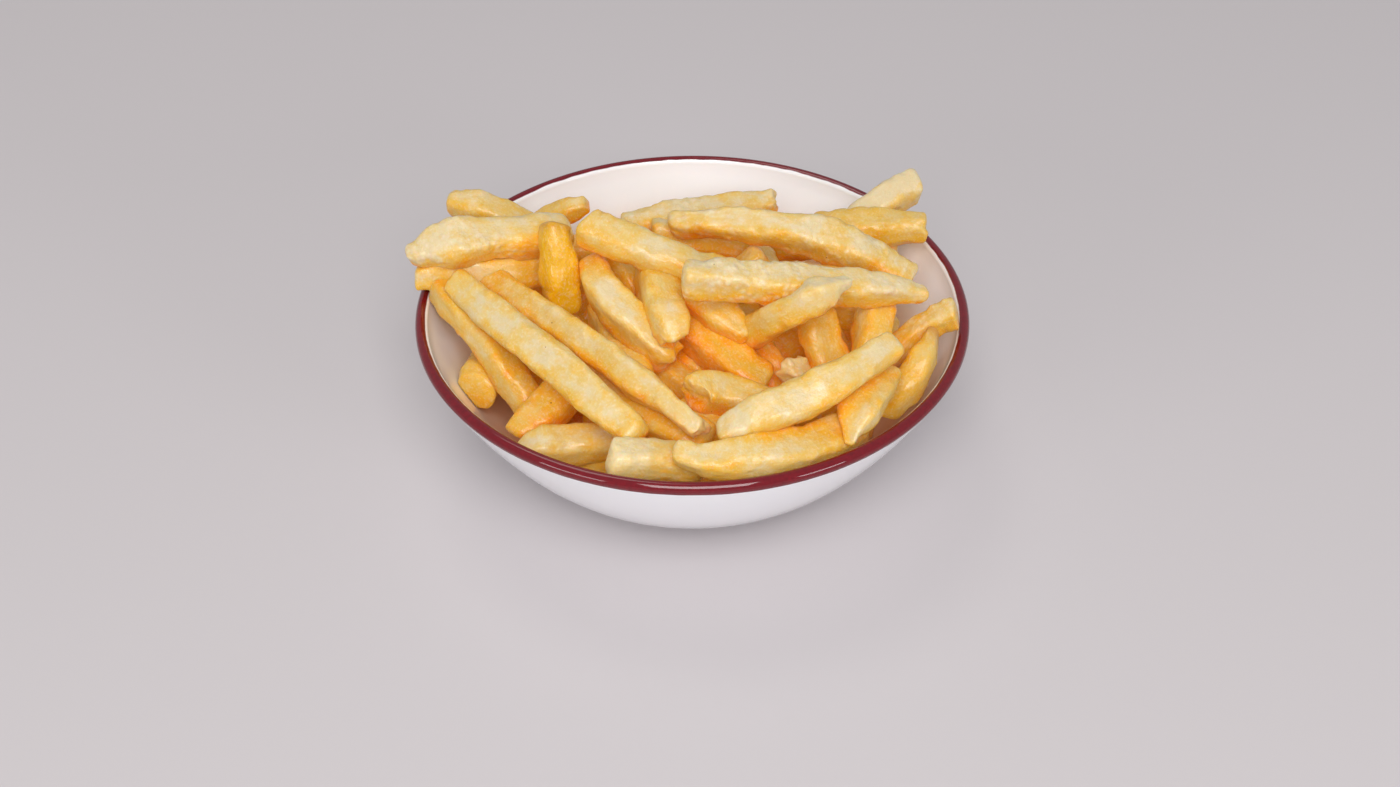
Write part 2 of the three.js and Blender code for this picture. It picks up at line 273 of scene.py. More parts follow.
def bowlProfile():
    # from the middle of the underside, out over the foot ring, up the wall, over the lip and down inside
    recess, inner, outer = bowl["footRecess"], bowl["footInnerRadius"], bowl["footOuterRadius"]
    rounding = bowl["footRounding"]
    points = [(radius, recess) for radius in np.linspace(2, inner - 2 * recess, 8)]
    for turn in np.linspace(0, math.pi / 2, 6):
        points.append((inner - recess * (1 - math.sin(turn)), recess * math.cos(turn)))
    points += [(outer - rounding, 0), (outer - rounding / 4, rounding / 4)]
    points += [(outer, rounding), (outer + rounding / 4, rounding * 2.5)]
    points += [outerWall(share) for share in np.linspace(0.02, 1, 40)]
    lipSteps = 20
    for step in range(1, lipSteps):
        turn = math.pi * step / lipSteps
        radius = bowl["rimRadius"] - bowl["lipWidth"] / 2 * (1 - math.cos(turn))
        points.append((radius, lipBase + bowl["lipRise"] * math.sin(turn)))
    points += [tuple(float(v) for v in innerWall(share)) for share in np.linspace(1, 0.03, 48)]
    return points


def turnedPiece(name, profile, steps, material):
    # a profile turned round the Z axis, closed at both ends by a point on the axis
    turns = np.arange(steps) * 2 * math.pi / steps
    radii, heights = np.array(profile).T
    rings = np.stack([np.outer(radii, np.cos(turns)), np.outer(radii, np.sin(turns)),
                      np.repeat(heights[:, None], steps, 1)], axis=-1)
    points, _ = withPoles(rings, {})
    return meshPiece(name, points, closedFaces(len(profile), steps), material)


def bandShare(tree, place, axes):
    # 1 on the painted band and 0 beside it; its edge wavers as the brush did
    level = addNode(tree, "ShaderNodeCombineXYZ", {0: axes.outputs[0], 1: axes.outputs[1]})
    radius = addNode(tree, "ShaderNodeVectorMath", {0: level.outputs[0]}, operation="LENGTH")
    noise = addNode(tree, "ShaderNodeTexNoise", {
        "Vector": place, "Scale": 1 / (bowl["waverLength"] * mm), "Detail": 2.0})
    shift = addNode(tree, "ShaderNodeMath", {0: noise.outputs["Fac"], 1: 0.5}, operation="SUBTRACT")
    waver = addNode(tree, "ShaderNodeMath", {
        0: shift.outputs[0], 1: bowl["bandWaver"] * mm}, operation="MULTIPLY").outputs[0]
    inner = bowl["rimRadius"] - bowl["bandOnLip"]
    lower = lipBase - bowl["bandOutside"]
    shares = []
    for measure, limit in ((radius.outputs["Value"], inner), (axes.outputs[2], lower)):
        wavy = addNode(tree, "ShaderNodeMath", {0: measure, 1: waver}, operation="ADD")
        past = addNode(tree, "ShaderNodeMapRange", {
            "Value": wavy.outputs[0], "From Min": (limit - bowl["bandEdge"]) * mm,
            "From Max": (limit + bowl["bandEdge"]) * mm})
        shares.append(past.outputs[0])
    return addNode(tree, "ShaderNodeMath", {0: shares[0], 1: shares[1]}, operation="MULTIPLY").outputs[0]


def bandColour(tree, place):
    # burgundy enamel, thinner and lighter along the brush's streaks
    streak = addNode(tree, "ShaderNodeTexNoise", {
        "Vector": place, "Scale": 1 / (bowl["brushStreak"] * mm), "Detail": 3.0})
    thin = addNode(tree, "ShaderNodeMapRange", {
        "Value": streak.outputs["Fac"], "From Min": 0.2, "From Max": 0.9})
    colours = {0: thin.outputs[0], 6: hexToLinear(bowl["bandDark"]), 7: hexToLinear(bowl["bandLight"])}
    return addNode(tree, "ShaderNodeMix", colours, data_type="RGBA").outputs[2]


def glazeColour(tree, normal, height):
    # white, with a painted reflection of the fries in warm orange on the inside that fades out towards the
    # rim
    facing = addNode(tree, "ShaderNodeSeparateXYZ", {0: normal}).outputs[2]
    inside = addNode(tree, "ShaderNodeMath", {0: facing, 1: 0.02}, operation="GREATER_THAN")
    low, high = (level * mm for level in bowl["paintedReflectionHeights"])
    reflectionFade = addNode(tree, "ShaderNodeMapRange", {
        "Value": height, "From Min": high, "From Max": low, "To Max": bowl["paintedReflectionShare"]},
        interpolation_type="SMOOTHSTEP")
    paintedReflection = addNode(tree, "ShaderNodeMath", {
        0: reflectionFade.outputs[0], 1: inside.outputs[0]}, operation="MULTIPLY")
    colours = {0: paintedReflection.outputs[0], 6: hexToLinear(bowl["glaze"]), 7: hexToLinear(bowl["paintedFryReflection"])}
    return addNode(tree, "ShaderNodeMix", colours, data_type="RGBA").outputs[2]


def glazedPorcelain():
    # porcelain, dipped in clear glaze and fired: clean white, mirror-like but a touch wavy, with the band
    # brushed on under the glaze, so that its edge is soft and its colour streaked
    material, tree = newMaterial("glazedPorcelainPaintedBand")
    coordinates = addNode(tree, "ShaderNodeTexCoord")
    place = coordinates.outputs["Object"]
    axes = addNode(tree, "ShaderNodeSeparateXYZ", {0: place})
    white = glazeColour(tree, coordinates.outputs["Normal"], axes.outputs[2])
    colour = addNode(tree, "ShaderNodeMix", {
        0: bandShare(tree, place, axes), 6: white, 7: bandColour(tree, place)}, data_type="RGBA")
    wave = addNode(tree, "ShaderNodeTexNoise", {
        "Vector": place, "Scale": 1 / (bowl["glazeWave"] * mm), "Detail": 1.0})
    relief = addNode(tree, "ShaderNodeBump", {
        "Strength": 0.12, "Distance": 0.4 * mm, "Height": wave.outputs["Fac"]})
    surface = addNode(tree, "ShaderNodeBsdfPrincipled", {
        "Base Color": colour.outputs[2], "Roughness": 0.06, "IOR": 1.5, "Normal": relief.outputs[0],
        "Coat Weight": 0.2, "Coat Roughness": 0.03, "Subsurface Weight": 0.08,
        "Subsurface Radius": (1.0, 0.8, 0.6), "Subsurface Scale": 1.5 * mm})
    finishMaterial(tree, surface)
    return material


bowlPiece = turnedPiece("porcelainBowl", bowlProfile(), bowl["turnSteps"], glazedPorcelain())
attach(bowlPiece, "root")
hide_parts("bowl")
print("bowl turned, glazed and banded")


# Fries: the skin of a fried potato stick

friedSkin = {
    "toast": ["#E0CB9C", "#E2BF6A", "#E6B438", "#ECA818", "#F09600"],  # from dry and pale to deep and oily; the deep end also serves as painted shade under and between fries
    "blister": "#EBDDC0",  # dry raised blisters and starch grains
    "raw": "#E8D9AC",      # a thin end where the flesh stayed pale
    "yellow": "#E6B207",   # the clear yellow of a fry that took more oil
    "singed": "#A8551A",   # browned tips
    "speck": "#7A4218",
    "grain": 0.7,          # mm, crisped starch grains
    "bubble": 2.0,         # mm, blisters
    "mottle": 4.4,         # mm, patches of paler and deeper skin
    "streak": 1.4,         # mm, width of the wrinkles that run along the fry
    "lump": 2.2,           # mm, soft unevenness
    "speckGap": 2.6,       # mm between the places where a dark speck may be
    "speckShare": 0.045,   # share of those places that have one
    "paintedGlow": 0.09,          # strength of the painted glow, emission where fries lie close, against full daylight
}


def skinPatterns(tree, place):
    # the patterns that the skin's colour and its relief share
    along = addNode(tree, "ShaderNodeVectorMath", {
        0: place, 1: (1.0, 1.0, 0.3)}, operation="MULTIPLY").outputs[0]
    mottle = addNode(tree, "ShaderNodeTexNoise", {
        "Vector": place, "Scale": 1 / (friedSkin["mottle"] * mm), "Detail": 4.0, "Roughness": 0.62})
    streaks = addNode(tree, "ShaderNodeTexNoise", {
        "Vector": along, "Scale": 1 / (friedSkin["streak"] * mm), "Detail": 2.0})
    grain = addNode(tree, "ShaderNodeTexNoise", {
        "Vector": place, "Scale": 1 / (friedSkin["grain"] * mm), "Detail": 2.0, "Roughness": 0.6})
    bubbles = addNode(tree, "ShaderNodeTexVoronoi", {
        "Vector": place, "Smoothness": 0.4, "Scale": 1 / (friedSkin["bubble"] * mm)}, feature="SMOOTH_F1")
    return {"mottle": mottle.outputs["Fac"], "streaks": streaks.outputs["Fac"],
            "grain": grain.outputs["Fac"], "bubbles": bubbles.outputs["Distance"]}


def toastedSkin(tree, toast, patterns):
    # pale to deep golden by the toast value, which the mottling and the streaks move up and down
    level = toast
    for pattern, swing in (("mottle", 0.2), ("streaks", 0.06)):
        change = addNode(tree, "ShaderNodeMapRange", {
            "Value": patterns[pattern], "From Min": 0.3, "From Max": 0.7,
            "To Min": -swing, "To Max": swing})
        level = addNode(tree, "ShaderNodeMath", {
            0: level, 1: change.outputs[0]}, operation="ADD").outputs[0]
    skin = hexToLinear(friedSkin["toast"][0])
    steps = len(friedSkin["toast"]) - 1
    for step, code in enumerate(friedSkin["toast"][1:]):
        share = addNode(tree, "ShaderNodeMapRange", {
            "Value": level, "From Min": step / steps, "From Max": (step + 1) / steps})
        skin = addNode(tree, "ShaderNodeMix", {
            0: share.outputs[0], 6: skin, 7: hexToLinear(code)}, data_type="RGBA").outputs[2]
    return skin


def drySkin(tree, blister, patterns):
    # how far the domes of the blisters dried out, and that with the starch grains
    domes = addNode(tree, "ShaderNodeMapRange", {
        "Value": patterns["bubbles"], "From Min": 0.6, "From Max": 0.05, "To Max": 0.6})
    dried = addNode(tree, "ShaderNodeMath", {
        0: domes.outputs[0], 1: blister}, operation="MULTIPLY").outputs[0]
    grains = addNode(tree, "ShaderNodeMapRange", {
        "Value": patterns["grain"], "From Min": 0.5, "From Max": 0.72, "To Max": 0.36})
    whitened = addNode(tree, "ShaderNodeMath", {
        0: grains.outputs[0], 1: dried}, operation="ADD", use_clamp=True).outputs[0]
    return dried, whitened


def darkSpecks(tree, place):
    # 0.8 on the few small dark specks
    cells = addNode(tree, "ShaderNodeTexVoronoi", {
        "Vector": place, "Scale": 1 / (friedSkin["speckGap"] * mm)})
    dot = addNode(tree, "ShaderNodeMapRange", {
        "Value": cells.outputs["Distance"], "From Min": 0.05, "From Max": 0.11,
        "To Min": 0.8, "To Max": 0.0})
    chosen = addNode(tree, "ShaderNodeSeparateXYZ", {0: cells.outputs["Color"]})
    rare = addNode(tree, "ShaderNodeMath", {
        0: chosen.outputs[0], 1: 1 - friedSkin["speckShare"]}, operation="GREATER_THAN")
    return addNode(tree, "ShaderNodeMath", {
        0: dot.outputs[0], 1: rare.outputs[0]}, operation="MULTIPLY").outputs[0]


def skinRelief(tree, place, patterns, dried):
    # grains all over, wrinkles along the fry, soft lumps, and domes where it blistered
    lumps = addNode(tree, "ShaderNodeTexNoise", {
        "Vector": place, "Scale": 1 / (friedSkin["lump"] * mm), "Detail": 3.0})
    layers = [  # pattern, strength, height in mm
        (patterns["grain"], 0.8, 0.2), (patterns["streaks"], 0.45, 0.3),
        (lumps.outputs["Fac"], 0.5, 0.45), (dried, 0.9, 0.35)]
    normal = {}
    for pattern, strength, height in layers:
        bump = addNode(tree, "ShaderNodeBump", {
            "Strength": strength, "Distance": height * mm, "Height": pattern, **normal})
        normal = {"Normal": bump.outputs[0]}
    return normal["Normal"]


def friedPotatoSkin():
    # potato, blanched and deep fried: pale cream where the skin dried, golden along the edges, with painted
    # shade in orange underneath and where fries lie against each other and a painted glow there, grainy and
    # blistered, with an oily sheen
    material, tree = newMaterial("friedPotatoSkin")
    place, tone, ends = (addNode(tree, "ShaderNodeAttribute", attribute_name=name).outputs["Vector"]
                         for name in ("skinPlace", "skinToneAndPaintedShade", "skinEnds"))
    toast, blister, paintedCrowdShade = addNode(tree, "ShaderNodeSeparateXYZ", {0: tone}).outputs
    singed, raw, yellow = addNode(tree, "ShaderNodeSeparateXYZ", {0: ends}).outputs
    patterns = skinPatterns(tree, place)
    dried, whitened = drySkin(tree, blister, patterns)
    colour = toastedSkin(tree, toast, patterns)
    coats = [(yellow, "yellow"), (raw, "raw"), (whitened, "blister"), (singed, "singed"),
             (darkSpecks(tree, place), "speck")]
    for share, name in coats:
        colour = addNode(tree, "ShaderNodeMix", {
            0: share, 6: colour, 7: hexToLinear(friedSkin[name])}, data_type="RGBA").outputs[2]
    oily = addNode(tree, "ShaderNodeMapRange", {
        "Value": patterns["mottle"], "From Min": 0.3, "From Max": 0.7, "To Min": 0.28, "To Max": 0.45})
    # a painted glow: emission in the skin's colour where fries lie close, standing in for light that soaks
    # through from the fries around
    paintedGlow = addNode(tree, "ShaderNodeVectorMath", {0: colour, "Scale": paintedCrowdShade}, operation="SCALE")
    surface = addNode(tree, "ShaderNodeBsdfPrincipled", {
        "Emission Color": paintedGlow.outputs[0], "Emission Strength": friedSkin["paintedGlow"],
        "Base Color": colour, "Roughness": oily.outputs[0], "IOR": 1.45,
        "Normal": skinRelief(tree, place, patterns, dried), "Subsurface Weight": 0.6,
        "Subsurface Radius": (1.0, 0.6, 0.3), "Subsurface Scale": 1.8 * mm,
        "Coat Weight": 0.35, "Coat Roughness": 0.16})
    finishMaterial(tree, surface)
    return material


fryMaterial = friedPotatoSkin()


# Every fry is a squarish stick on a bent centre line: both ends and a middle point, and its thickness

stick = {
    "sides": 48,
    "bodyStep": 0.85,     # mm between rings
    "capRings": 9,
    "squareness": (2.7, 3.6),  # power of the section: 2 is round, more is squarer
    "edgePower": 4,       # a larger one keeps the golden line along each edge narrower
    "capPower": 2.8,      # the same for the rounding of the ends
    "capLength": 0.3,     # length of that rounding, as a share of the thickness
    "taperReach": 0.35,   # share of the length over which a narrow end narrows
    "sunken": 0.05,       # how far the flat faces sink in, as a share of the half thickness
    "uneven": 0.13,       # how much wider or flatter the cut is here and there
    "lumps": [(11.0, 0.65), (5.5, 0.42), (2.6, 0.28), (1.4, 0.17)],  # size and height in mm
    "blisters": 0.22,     # share of blistered skin where a fry gives none of its own
    "blisterHeight": 0.3,
}

toasting = {  # how deep a gold each thing adds, from 0, pale, to 1
    "everywhere": 0.1,
    "fryToFry": 0.08,
    "edges": 0.26,
    "ends": 0.12,
    # painted shade: deeper gold on the sides and undersides of each fry
    "paintedShadeUnderneath": 0.36,
    # painted shade: deeper gold where other fries close in
    "paintedCrowdShade": 0.55,
    "patches": 0.18,
}
seeds = {"wide": 3, "high": 4, "swing": 5, "slant": 6, "driftAcross": 7, "driftUp": 8, "lumps": 11,
         "blisters": 21, "smallBlisters": 22, "dryCrumbs": 23, "domes": 24, "patches": 31, "fryToFry": 32,
         "burn": 33, "edges": 34, "yellow": 35, "packed": 41, "torn": 51, "finelyTorn": 52, "crumbs": 53}

# tips: how far each end narrows. gold, yellow, blisters, raw: how much of that the skin shows.
# singed, frayed: how browned and how torn each end is. flat: the cut's width and height against its
# thickness. power: its squareness. roll: how far it is turned on its own line
fryPieces = {
    "friesOverLeftRim": [
        {"ends": [(-81, 5, 61), (-62, 10, 64), (-36, 20, 58)], "thick": 12.5, "roll": 0.4,
         "tips": (0.55, 1), "blisters": 0.8, "frayed": (0.5, 0)},
        {"ends": [(-80, 7, 54), (-62, 10, 53), (-36, 22, 47)], "thick": 10, "tips": (0.8, 1),
         "gold": -0.08, "yellow": 0.2},
        {"ends": [(-74, 40, 58), (-58, 36, 54), (-42, 37, 42)], "thick": 9.8, "tips": (0.8, 1),
         "gold": 0.05, "yellow": 0.3},
        {"ends": [(-32, 40, 57), (-40, 39, 53), (-49, 39, 47)], "thick": 7, "tips": (0.7, 1),
         "gold": 0.15},
        {"ends": [(-61, 23, 42), (-49, 22, 42), (-29, 24, 37)], "thick": 10},
    ],
    "friesAcrossTop": [
        {"ends": [(-40, 11, 69), (-39, 5, 60), (-38, 2, 44)], "thick": 10.5, "tips": (0.85, 1),
         "power": 2.4, "yellow": 1.25, "singed": (0.45, 0)},
        {"ends": [(-31, 9, 69), (-13, 1, 66), (12, -3, 58)], "thick": 11.5, "roll": 0.3,
         "tips": (0.85, 1), "power": 2.4},
        {"ends": [(-3, -18, 70), (30, -17, 68), (66, -12, 60)], "thick": 10.5, "roll": 0.15,
         "tips": (1, 0.6), "blisters": 1.0},
        {"ends": [(-7, 19, 64), (35, 9, 66), (63, 4, 54)], "thick": 11, "roll": 0.35, "tips": (0.7, 0.8),
         "blisters": 0.7},
        {"ends": [(43, -24, 74), (29, -29, 69), (14, -13, 47)], "thick": 10, "roll": 0.1,
         "tips": (0.3, 1), "raw": (0.9, 0)},
    ],
    "friesAlongBack": [
        {"ends": [(-21, 28, 56), (0, 34, 56), (26, 41, 56)], "thick": 10.5, "roll": 0.3,
         "tips": (0.8, 0.7), "blisters": 0.8, "frayed": (0, 1.0)},
        {"ends": [(-12, 22, 58), (-1, 22, 56), (18, 24, 50)], "thick": 9.5, "tips": (0.7, 1),
         "blisters": 0.5},
        {"ends": [(69, 49, 57), (58, 43, 54), (46, 37, 49)], "thick": 10.5, "roll": -0.3, "gold": -0.3},
        {"ends": [(70, 28, 55), (54, 30, 54), (36, 32, 51)], "thick": 11, "roll": -0.1, "tips": (0.75, 1),
         "gold": 0.12, "yellow": 0.3, "frayed": (0.5, 0)},
        {"ends": [(21, 10, 59), (14, 8, 52), (12, 8, 45)], "thick": 9},
        {"ends": [(45, 6, 55), (33, 7, 53), (21, 12, 48)], "thick": 9.5},
    ],
    "friesDownMiddle": [
        {"ends": [(-12, 16, 50), (-9, -9, 58), (-5, -25, 53)], "thick": 12, "tips": (1, 0.7), "gold": 0.1,
         "frayed": (0, 1.3), "blisters": 0.3},
        {"ends": [(-2, -6, 56), (6, -13, 56), (16, -23, 54)], "thick": 10.5, "roll": 0.3,
         "tips": (1, 0.5), "gold": 0.1},
        {"ends": [(-29, 8, 58), (-21, -11, 55), (-6, -22, 46)], "thick": 10, "roll": 0.2,
         "frayed": (0, 0.8)},
        {"ends": [(-24, 17, 51), (-20, 12, 49), (-13, 3, 42)], "thick": 10},
        {"ends": [(-6, -1, 46), (6, -18, 47), (20, -28, 40)], "thick": 12, "roll": 0.3, "gold": 0.15},
        {"ends": [(0, -41, 48), (8, -39, 47), (23, -42, 43)], "thick": 10.5, "roll": 0.2, "gold": 0.1,
         "frayed": (0.6, 0), "blisters": 0.5},
    ],
    "friesOnLeft": [
        {"ends": [(-69, 1, 56), (-40, -32, 54), (-14, -60, 49)], "thick": 11, "roll": 0.45,
         "tips": (0.8, 0.75), "blisters": 0.25},
        {"ends": [(-61, 11, 50), (-31, -22, 52), (3, -56, 47)], "thick": 10, "roll": 0.45,
         "tips": (1, 0.5), "blisters": 0.25, "frayed": (0, 1.0), "raw": (0, 0.4)},
        {"ends": [(-74, 6, 51), (-56, -18, 44), (-44, -31, 32)], "thick": 9.5, "gold": 0.1},
        {"ends": [(-62, -24, 35), (-60, -15, 33), (-57, 4, 28)], "thick": 12.5, "yellow": 0.45,
         "power": 2.1, "blisters": 0.4},
    ],
    "friesAlongFront": [
        {"ends": [(-47, -43, 35), (-42, -38, 38), (-29, -24, 42)], "thick": 10, "gold": 0.22},
        {"ends": [(-47, -52, 38), (-34, -50, 38), (-16, -45, 35)], "thick": 10, "tips": (0.5, 1)},
        {"ends": [(-22, -66, 46), (-11, -64, 44), (3, -61, 39)], "thick": 11, "raw": (0.45, 0),
         "blisters": 0.6, "frayed": (0.6, 0)},
        {"ends": [(-5, -67, 50), (19, -66, 47), (45, -47, 41)], "thick": 10.5, "roll": 0.35,
         "tips": (0.65, 1), "blisters": 0.3},
        {"ends": [(55, -36, 62), (31, -53, 58), (7, -60, 50)], "thick": 12, "roll": -0.5,
         "tips": (0.7, 0.7), "blisters": 0.2},
    ],
    "friesOnRight": [
        {"ends": [(54, -35, 53), (47, -48, 52), (42, -61, 47)], "thick": 10, "roll": 0.0,
         "tips": (0.8, 0.3), "flat": (1.25, 0.7)},
        {"ends": [(68, -18, 53), (62, -29, 46), (54, -34, 36)], "thick": 10.5, "roll": 0.0,
         "tips": (0.4, 0.8), "gold": 0.05, "yellow": 0.3, "singed": (0.6, 0), "flat": (0.8, 0.9)},
        {"ends": [(75, -13, 55), (66, -14, 50), (50, -18, 38)], "thick": 9.5, "roll": 0.0,
         "blisters": 0.6},
        {"ends": [(52, -5, 53), (51, -17, 53), (49, -27, 44)], "thick": 11.5, "gold": 0.1},
        {"ends": [(34, -13, 55), (36, -19, 51), (41, -28, 39)], "thick": 10.5, "gold": 0.12},
        {"ends": [(51, -32, 28), (44, -23, 27), (36, -7, 24)], "thick": 10},
        {"ends": [(31, 5, 46), (40, -1, 48), (53, -1, 45)], "thick": 9.5},
    ],
    "friesDeeper": [
        {"ends": [(28, -26, 47), (30, -28, 42), (35, -30, 26)], "thick": 9, "frayed": (1.1, 0),
         "blisters": 0.6, "raw": (0.4, 0)},
        {"ends": [(19, -10, 44), (22, -18, 40), (27, -27, 32)], "thick": 9.5, "gold": 0.25},
        {"ends": [(21, -8, 28), (29, -1, 32), (40, 10, 36)], "thick": 10, "gold": 0.15},
        {"ends": [(11, -4, 30), (21, 2, 33), (35, 12, 37)], "thick": 9, "gold": 0.15},
        {"ends": [(8, 10, 40), (13, 4, 41), (19, 4, 38)], "thick": 10},
        {"ends": [(-13, 0, 35), (0, -13, 36), (14, -21, 31)], "thick": 10},
        {"ends": [(-11, -14, 36), (-4, -21, 36), (6, -27, 32)], "thick": 9},
        {"ends": [(-26, -26, 40), (-10, -41, 40), (5, -49, 37)], "thick": 10.5},
        {"ends": [(-2, -34, 38), (5, -41, 38), (17, -44, 34)], "thick": 10},
        {"ends": [(-44, -42, 31), (-28, -46, 30), (-8, -46, 24)], "thick": 11, "gold": 0.2},
        {"ends": [(-14, -58, 34), (6, -58, 33), (28, -52, 31)], "thick": 10.5, "gold": 0.2},
        {"ends": [(14, -60, 37), (31, -52, 36), (47, -38, 32)], "thick": 10.5, "gold": 0.2},
        {"ends": [(-52, 38, 36), (-36, 41, 37), (-20, 42, 34)], "thick": 10.5},
        {"ends": [(61, 29, 46), (43, 35, 45), (24, 38, 42)], "thick": 10.5},
    ],
}


def seededDraw(seed):
    # a repeatable draw between 0 and 1, the same one that the solids' heap is filled with
    state = seed
    while True:
        state = (state + 0x6D2B79F5) & 0xFFFFFFFF
        mixed = ((state ^ (state >> 15)) * (1 | state)) & 0xFFFFFFFF
        mixed = ((mixed + (((mixed ^ (mixed >> 7)) * (61 | mixed)) & 0xFFFFFFFF)) & 0xFFFFFFFF) ^ mixed
        yield ((mixed ^ (mixed >> 14)) & 0xFFFFFFFF) / 2 ** 32


def linePoints(ends, shares):
    # points and directions on the curve from the first end through the middle point to the last
    start, via, stop = (np.array(point, dtype=float) for point in ends)
    pull = via * 2 - start / 2 - stop / 2
    t = np.asarray(shares, dtype=float)[:, None]
    points = (1 - t) ** 2 * start + 2 * (1 - t) * t * pull + t ** 2 * stop
    along = 2 * (1 - t) * (pull - start) + 2 * t * (stop - pull)
    return points, along / np.linalg.norm(along, axis=1)[:, None]


def crossAxes(along):
    sideways = np.cross((0.0, 0.0, 1.0), along)
    sideways[np.linalg.norm(sideways, axis=1) < 0.2] = (1, 0, 0)
    sideways -= along * np.sum(sideways * along, axis=1)[:, None]
    sideways /= np.linalg.norm(sideways, axis=1)[:, None]
    return sideways, np.cross(along, sideways)


def ringPlaces(fry, step):
    # how far along the fry each ring lies, and how wide the rounded ends let it be
    dense, _ = linePoints(fry["ends"], np.linspace(0, 1, 60))
    length = np.sum(np.linalg.norm(np.diff(dense, axis=0), axis=1))
    capTurns = np.linspace(0, math.pi / 2, stick["capRings"] + 1)[1:]
    capDepth = 1 - np.cos(capTurns) ** (2 / stick["capPower"])
    capWidth = np.sin(capTurns) ** (2 / stick["capPower"])
    firstCap, lastCap = (stick["capLength"] * fry["thick"] * (0.4 + 0.6 * tip)
                         for tip in fry.get("tips", (1, 1)))
    bodyCount = max(6, round((length - firstCap - lastCap) / step))
    body = np.linspace(firstCap, length - lastCap, bodyCount + 1)[1:-1]
    distances = np.concatenate([capDepth * firstCap, body, length - (capDepth * lastCap)[::-1]])
    widths = np.concatenate([capWidth, np.ones(len(body)), capWidth[::-1]])
    return distances, widths, length


def ownCharacter(number):
    # two values from -1 to 1 that differ from fry to fry: its squareness and its gold
    return softNoise(np.array([[number * 5.1, 2.2, 9.9], [number * 3.7, 8.1, 4.4]]), 1.0, seeds["fryToFry"])


def cutSection(fry, distances, widths, length, sides):
    # across and up from the centre line: a squarish cut that is wider here and flatter there, narrows
    # at the tips and turns a little along the fry; corner is 1 on its edges and 0 on its faces
    turns = (np.arange(sides) + 0.5) * 2 * math.pi / sides
    ownPower = between(*stick["squareness"], 0.5 + 0.5 * ownCharacter(fry["number"])[0])
    power = fry.get("power", ownPower)
    reach = (np.abs(np.cos(turns)) ** power + np.abs(np.sin(turns)) ** power) ** (-1 / power)
    corner = np.abs(np.sin(2 * turns)) ** stick["edgePower"]
    reach = reach * (1 - stick["sunken"] * (1 - corner))

    shares = distances / length
    tips = fry.get("tips", (1, 1))
    firstTaper = between(tips[0], 1, smoothShare(shares / stick["taperReach"]))
    lastTaper = between(tips[1], 1, smoothShare((1 - shares) / stick["taperReach"]))
    half = fry["thick"] / 2 * widths * firstTaper * lastTaper
    where = alongFry(fry, distances)
    flat = fry.get("flat", (1, 1))
    wide = half * flat[0] * (1 + stick["uneven"] * softNoise(where, 15.0, seeds["wide"]))
    high = half * flat[1] * (1 + stick["uneven"] * softNoise(where, 15.0, seeds["high"]))
    across = wide[:, None] * np.cos(turns) * reach
    up = high[:, None] * np.sin(turns) * reach
    swing = (fry["roll"] + 0.2 * softNoise(where, 26.0, seeds["swing"]))[:, None]
    turnedAcross = across * np.cos(swing) - up * np.sin(swing)
    turnedUp = across * np.sin(swing) + up * np.cos(swing)
    return turnedAcross, turnedUp, corner


def alongFry(fry, distances):
    # a place of its own in the noise for each ring of each fry
    own = np.full_like(distances, fry["number"] * 31.7)
    return np.stack([distances, own, np.zeros_like(distances)], axis=1)


def endSlide(fry, fromEnds, across, up):
    # how far the points at the ends slide along the fry: slanting cuts, and torn ends
    number = fry["number"]
    slantPlaces = np.array([[number * 7.3, 1.1, 0.5], [number * 7.3, 12.2, 0.5]])
    slants = 0.45 * softNoise(slantPlaces, 1.0, seeds["slant"])
    fades = [np.exp(-away / 5.0)[:, None] for away in fromEnds]
    slide = (slants[0] * fades[0] - slants[1] * fades[1]) * across
    slide += (slants[1] * fades[0] + slants[0] * fades[1]) * up * 0.6
    face = np.stack([across, up, np.full_like(up, number * 9.7)], axis=-1)
    torn = softNoise(face, 4.5, seeds["torn"]) + 0.6 * softNoise(face, 2.0, seeds["finelyTorn"])
    first, last = nearEnds(fry, "frayed", fromEnds, 3.0)
    return slide + 2.0 * (first - last) * torn


def nearEnds(fry, name, fromEnds, reach, power=1):
    # a value that is given for each end and fades along the fry
    return [value * np.exp(-(away / reach) ** power)[:, None]
            for value, away in zip(fry.get(name, (0, 0)), fromEnds)]


